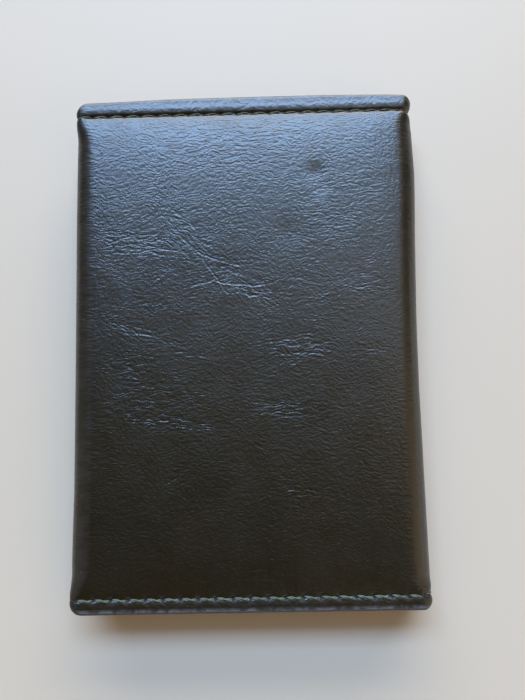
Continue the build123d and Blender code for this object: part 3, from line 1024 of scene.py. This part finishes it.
def layer_grid(half, share, rows, offset, depth, name, material):
    """A thin closed layer under the strip, from its outer line inwards, and its width laid flat.

    share is where its columns are, as part numbers and shares; offset gives its top surface's depth.
    """
    part, t = strip_columns()
    columns = np.minimum(np.floor(share), FACE).astype(int)
    x, line_depth, nx, nd, flat_x = half.line(columns, share - columns, rows)
    along = np.interp(share, part + t, along_strip(half, part, t))
    grid_y = np.broadcast_to(rows, x.shape)
    top = offset(share[:, None], x, grid_y, flat_x)
    surfaces = [np.stack([x + nx * o, grid_y, half.height(line_depth + nd * o)], -1) for o in (top, top - depth)]
    upper = np.arange(x.size).reshape(x.shape)
    lower = upper + x.size
    faces = [np.stack([upper[:-1, :-1], upper[1:, :-1], upper[1:, 1:], upper[:-1, 1:]], -1).reshape(-1, 4),
             np.stack([lower[:-1, :-1], lower[:-1, 1:], lower[1:, 1:], lower[1:, :-1]], -1).reshape(-1, 4)]
    rim = np.concatenate([upper[:, 0], upper[-1, 1:], upper[-2::-1, -1], upper[0, -2:0:-1]])
    following = np.roll(rim, -1)
    faces = np.concatenate([*faces, np.stack([rim, rim + x.size, following + x.size, following], -1)])
    piece = new_piece(name, np.reshape(surfaces, (-1, 3)), faces if half.up < 0 else faces[:, ::-1], material)
    flat = np.stack([np.broadcast_to(along[:, None], x.shape), grid_y], -1).reshape(-1, 2)
    lay_out(piece, np.concatenate([flat, flat]))
    return piece, float(along[-1] - along[0])


def padding_piece(half, material):
    """The felt under one cover's leather: its top follows the leather, its underside is flat."""
    def under_leather(share, x, y, flat_x):
        crown = sample(half.crown, flat_x, y) if half.up > 0 else np.zeros_like(x)
        edge = np.minimum(np.abs(x - (fore_x + half.stack / 2)), np.abs(x - padding_edge_x) + 0.2)
        edge = np.minimum(edge, lining_edge + 0.01 - np.abs(y))
        return 0.92 * crown - leather - 0.03 - 0.35 * np.exp(-np.clip(edge, 0, None) / 0.8)

    piece, _ = layer_grid(half, np.linspace(FACE, FACE + 0.985, 90), np.linspace(-lining_edge, lining_edge, 131),
                          under_leather, 0.0, f"{half.name}_cover_padding", material)
    places = np.zeros(len(piece.data.vertices) * 3)
    piece.data.vertices.foreach_get("co", places)
    places[len(places) // 2 + 2::3] = half.height(padding_depth - 0.02) * MM
    piece.data.vertices.foreach_set("co", places)
    piece.data.update()
    return piece


def lining_piece(half, material):
    """The cloth under one cover and half of the spine, and its width laid flat."""
    def under_padding(share, x, y, flat_x):
        ripple = 0.05 * smooth_noise(x, y, 9.0, 31 + half.up) * (share >= FACE)
        return ripple - (leather + 0.06 + (padding_depth - leather) * ease(np.clip(share - 1.0, 0, 1)))

    return layer_grid(half, np.linspace(SPINE, FACE + 0.965, 120), np.linspace(-lining_edge, lining_edge, 133),
                      under_padding, lining_depth - padding_depth, f"{half.name}_cover_lining", material)


# ---- Card slots ----

SLOTS = [box_mm(f"card_slot_{number}") for number in (1, 2, 3, 4)]
LEAF = SLOTS[0][1][2] - SLOTS[0][0][2]
PRESSED_LINE = 0.12  # the depth of the line below each slot's mouth


def slot_top(number, y):
    """The height of the upper face of a slot's leaf: it lies over the leaves under it and dips to the sleeve."""
    steps = [0.5 + 0.5 * np.tanh((y - low[1]) / 0.7) for low, _ in SLOTS[:number]]
    return document_stack + 0.02 + LEAF * (1 + sum(steps, np.zeros_like(y)))


def slot_leaf(number, material):
    """One leaf of the card slots: a rounded mouth, a pressed line below it, and softly worn corners."""
    low, high = SLOTS[number]
    x = np.linspace(low[0], high[0], 78)
    rows = np.unique(np.concatenate([np.arange(low[1] + 0.2, high[1] - 3.2, 0.9),
                                     np.linspace(high[1] - 3.2, high[1] - LEAF / 2, 15)]))
    turn = np.linspace(0, math.pi, 7)[1:-1]
    count, mouth = len(rows), rows[-1]
    top = slot_top(number, rows)
    pressed = bell(rows - high[1] + 1.8, 0.28)
    loop_y = np.concatenate([rows, mouth + LEAF / 2 * np.sin(turn), rows[::-1]])
    loop_z = np.concatenate([top - PRESSED_LINE * pressed, top[-1] - LEAF / 2 * (1 - np.cos(turn)),
                             (top - LEAF)[::-1] + 0.02])
    pressed = np.concatenate([pressed, np.zeros(len(turn) + count)])
    grid_x, grid_y = np.meshgrid(x, loop_y, indexing="ij")
    sag = 0.35 * (1 - (2 * (grid_x - low[0]) / (high[0] - low[0]) - 1) ** 2)
    near = np.exp(-np.clip(mouth - grid_y, 0, None) / 3.0)
    grid_y = grid_y - sag * near
    wave = 0.10 * smooth_noise(grid_x, grid_y, 12.0, 50 + number)
    side = np.clip(np.minimum(grid_x - low[0], high[0] - grid_x) / 4.0, 0, 1)
    grid_z = loop_z + (wave + 0.06) * side * near
    faces = closed_faces(np.arange(grid_x.size).reshape(grid_x.shape), count, len(turn))
    piece = new_piece(f"card_slot_leaf_{number + 1}", np.stack([grid_x, grid_y, grid_z], -1).reshape(-1, 3), faces,
                      material)
    lay_out(piece, np.stack([grid_x + 37 * number, grid_y], -1).reshape(-1, 2))
    paint(piece, "pressed", np.broadcast_to(pressed, grid_x.shape))
    paint(piece, "edge", np.clip(1 - (mouth - grid_y) / 1.1, 0, 1) * (np.arange(len(loop_y)) < count + 4))
    return piece


# ---- Stitches ----


def stitch_shape():
    """One stitch along X, a millimetre long and thick: two strands twisted together, dipping at its ends."""
    sides, steps = 5, 7
    points, faces = [], []
    for strand in (0, 1):
        first = len(points)
        for k in range(steps):
            s = k / (steps - 1)
            twist = math.pi * (1.6 * s + strand)
            dip = -0.55 * abs(2 * s - 1) ** 4
            fat = 0.27 * (1 - 0.35 * abs(2 * s - 1) ** 6)
            for j in range(sides):
                a = 2 * math.pi * j / sides
                points.append((s - 0.5, 0.20 * math.cos(twist) + fat * math.cos(a),
                               dip + 0.20 * math.sin(twist) + fat * math.sin(a)))
        for k in range(steps - 1):
            for j in range(sides):
                a, b = first + k * sides + j, first + k * sides + (j + 1) % sides
                faces.append((a, b, b + sides, a + sides))
        faces.append(tuple(first + j for j in range(sides))[::-1])
        faces.append(tuple(first + (steps - 1) * sides + j for j in range(sides)))
    mesh = bpy.data.meshes.new("one_stitch")
    mesh.from_pydata(points, [], [f[::-1] for f in faces])
    mesh.shade_smooth()
    return linked("one_stitch", mesh)


def stitching_tree(stitch, material):
    """Sets a stitch at every pitch along a path, lying along it with its back to the leather."""
    tree = bpy.data.node_groups.new("stitching", "GeometryNodeTree")
    face = tree.interface
    face.new_socket("Geometry", in_out="INPUT", socket_type="NodeSocketGeometry")
    for label, default in (("Stitch count", 20), ("Seed", 1)):
        face.new_socket(label, in_out="INPUT", socket_type="NodeSocketInt").default_value = default
    for label, default in (("Stitch length", 0.0039), ("Thickness", 0.0006), ("Slant", 0.12), ("Unevenness", 0.05)):
        face.new_socket(label, in_out="INPUT", socket_type="NodeSocketFloat").default_value = default
    face.new_socket("Geometry", in_out="OUTPUT", socket_type="NodeSocketGeometry")
    given = put(tree, "NodeGroupInput").outputs
    path, count, seed, length, thickness, slant, unevenness = (Value(tree, output) for output in given[:7])
    curve = result(tree, "GeometryNodeMeshToCurve", {"Mesh": path})
    spaced = result(tree, "GeometryNodeResampleCurve", {"Curve": curve, "Count": count}, mode="COUNT")
    outward = result(tree, "GeometryNodeInputNamedAttribute", {"Name": "outward"}, "Attribute",
                     data_type="FLOAT_VECTOR")
    along = result(tree, "FunctionNodeAlignRotationToVector", {"Vector": result(tree, "GeometryNodeInputTangent")},
                   axis="X")
    seated = result(tree, "FunctionNodeAlignRotationToVector", {"Rotation": along, "Vector": outward}, axis="Z",
                    pivot_axis="X")
    uneven = result(tree, "FunctionNodeRandomValue", {"Seed": seed, 2: unevenness * -1.0, 3: unevenness}, 1,
                    data_type="FLOAT")
    turn = result(tree, "FunctionNodeAxisAngleToRotation", {"Axis": (0, 0, 1), "Angle": slant + uneven})
    turned = result(tree, "FunctionNodeRotateRotation", {"Rotation": seated, "Rotate By": turn},
                    rotation_space="LOCAL")
    thick = thickness * (uneven + 1.0)
    shape = result(tree, "GeometryNodeObjectInfo", {"Object": stitch}, "Geometry")
    placed = result(tree, "GeometryNodeInstanceOnPoints", {
        "Points": spaced, "Instance": shape, "Rotation": turned, "Scale": joined(tree, length, thick, thick)})
    real = result(tree, "GeometryNodeRealizeInstances", {"Geometry": placed})
    finished = result(tree, "GeometryNodeSetMaterial", {"Geometry": real, "Material": material})
    put(tree, "NodeGroupOutput", {"Geometry": finished})
    return tree


def stitched(name, paths, tree, material, **settings):
    """A row of stitches on each path. A path is its places and outward ways, in millimetres, one per stitch."""
    points, faces, offset = [], [], 0
    for number, (places, outward) in enumerate(paths):
        mesh = bpy.data.meshes.new(name)
        mesh.from_pydata((places * MM).tolist(), [(k, k + 1) for k in range(len(places) - 1)], [])
        path = linked(name, mesh)
        paint(path, "outward", outward, "FLOAT_VECTOR")
        modifier = path.modifiers.new("stitching", "NODES")
        modifier.node_group = tree
        values = {"Stitch count": len(places), "Seed": 7 + number}
        values.update({label.replace("_", " "): value for label, value in settings.items()})
        for item in tree.interface.items_tree:
            if item.in_out == "INPUT" and item.name in values:
                modifier[item.identifier] = values[item.name]
        path.update_tag()
        bpy.context.view_layer.update()
        row = bpy.data.meshes.new_from_object(path.evaluated_get(bpy.context.evaluated_depsgraph_get()))
        bpy.data.objects.remove(path)
        found = np.zeros(len(row.vertices) * 3)
        row.vertices.foreach_get("co", found)
        points.append(found.reshape(-1, 3) / MM)
        faces += [[v + offset for v in polygon.vertices] for polygon in row.polygons]
        offset += len(row.vertices)
        for used in (mesh, row):
            bpy.data.meshes.remove(used)
    points = np.concatenate(points)
    piece = new_piece(name, points, faces, material)
    lay_out(piece, points[:, :2] + points[:, 2:] * 0.7)
    return piece


def seam_path(half, end, where):
    """Stitch places along one seam: on the outer face from the spine to the fold, or on the sleeve."""
    part, t = strip_columns()
    along = along_strip(half, part, t)
    x, depth, nx, nd, flat_x = (v[:, 0] for v in half.line(part, t, np.array([end * seam_y])))
    if where == "outer":
        last = FOLD + 0.35 if half is BACK else FOLD - 0.02
        low, high = 0.0, float(np.interp(last, part + t, along))
    else:
        low, high = float(np.interp(SLEEVE, part + t, along)) + 1.0, along[-1] - 1.2
    turns = (-half.up * along - stitch_shift[end]) / stitch_pitch
    stand = relief(half, part, t, along, x, flat_x, np.full(len(x), end * seam_y), end)
    first = math.ceil(min(turns) - 0.5)
    spots = [(k + 0.5) * stitch_pitch + stitch_shift[end] for k in range(first, math.ceil(max(turns)))]
    spots = np.array(sorted(-half.up * spot for spot in spots))
    spots = spots[(spots > low) & (spots < high)]
    # stitches sink into the leather round the spine's corner
    bend = np.interp(spots, along, (part == CORNER) * np.sin(math.pi * t))
    seat = np.interp(spots, along, stand) + THREAD_STAND[end] - 0.50 * bend
    ox, od = np.interp(spots, along, nx), np.interp(spots, along, nd)
    px = np.interp(spots, along, x) + ox * seat
    pd = np.interp(spots, along, depth) + od * seat
    places = np.stack([px, np.full(len(spots), end * seam_y), half.height(pd)], -1)
    return places, np.stack([ox, np.zeros(len(spots)), -half.up * od], -1)


def slot_surface(y):
    """The top of the uppermost leaf at y."""
    heights = [np.where((y < high[1]) & (y > low[1]), slot_top(k, y), 0.0) for k, (low, high) in enumerate(SLOTS)]
    return np.max(heights, axis=0) + 0.12


def straight_path(start, end, pitch):
    """Stitches on the card slots from start to end, at the height that the leaves have there."""
    start, end = np.array(start, float), np.array(end, float)
    count = int(np.hypot(*(end - start)) / pitch)
    shares = (np.arange(count) + 0.5) / count
    spots = start + (end - start) * shares[:, None]
    return np.column_stack([spots, slot_surface(spots[:, 1])]), np.tile([0.0, 0.0, 1.0], (count, 1))


# ---- The whole wallet ----

make_camera()
make_studio()

floor_material = bpy.data.materials.new("pale_table")
floor_material.use_nodes = True
floor_shader = floor_material.node_tree.nodes["Principled BSDF"]
floor_shader.inputs["Base Color"].default_value = TABLE_COLOUR
floor_shader.inputs["Roughness"].default_value = TABLE_ROUGHNESS
corners = [(x * TABLE_HALF, y * TABLE_HALF, 0) for x, y in ((-1, -1), (1, -1), (1, 1), (-1, 1))]
floor = new_piece("table_top", corners, [(0, 1, 2, 3)], floor_material, smooth=False)

leather_out = outer_leather_material()
leather_in = inner_leather_material()
lining_cloth = lining_material()
felt = felt_material()
thread = thread_material()
BACK.crown = puffed_panel()


def across_fold(piece, half):
    """Bakes the piece's place into its mesh and leaves it unattached."""
    half.height(0.0) * MM
    half.height(7.0) * MM
    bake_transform(piece)


for half in (BACK, FRONT):
    skin = shell_piece(half, leather_out)
    sleeve = "passport_sleeve" if half is BACK else "document_sleeve"
    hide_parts(f"{half.name}_cover_leather", "spine_leather", sleeve)
    across_fold(skin, half)

    pad = padding_piece(half, felt)
    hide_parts(f"{half.name}_padding")
    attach(pad, half.body)

    lining, lining_width = lining_piece(half, lining_cloth)
    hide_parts(f"{half.name}_lining", "spine_lining")
    lining_width * MM
    across_fold(lining, half)

for number in range(4):
    leaf = slot_leaf(number, leather_in)
    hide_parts(f"card_slot_{number + 1}")
    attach(leaf, "front_cover")

stitch = stitch_shape()
tree = stitching_tree(stitch, thread)
for half in (BACK, FRONT):
    for end, label in ((1, "top"), (-1, "bottom")):
        rows = [seam_path(half, end, "outer"), seam_path(half, end, "sleeve")]
        seam = stitched(f"{half.name}_{label}_stitches", rows, tree, thread, Stitch_length=stitch_length * MM,
                        Thickness=THREAD_THICKNESS[end] * MM, Slant=0.10 * end)
        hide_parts(f"{half.name}_{label}_seam_thread", f"spine_{label}_seam_thread")
        across_fold(seam, half)

(left_x, _, _), (right_x, top_y, _) = SLOTS[0]
left_x, right_x, top_y = left_x + slot_seam_inset, right_x - 1.3, top_y - slot_seam_inset
bottom_y = SLOTS[3][0][1] + 1.6
rows = [straight_path((x, top_y), (x, bottom_y), slot_pitch) for x in (left_x, right_x)]
rows.append(straight_path((left_x, bottom_y), (right_x, bottom_y), slot_pitch))
slot_stitches = stitched("card_slot_stitches", rows, tree, thread, Stitch_length=2.7 * MM, Thickness=0.48 * MM,
                         Slant=0.10)
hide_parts("card_slot_thread")
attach(slot_stitches, "front_cover")
bpy.data.objects.remove(stitch)
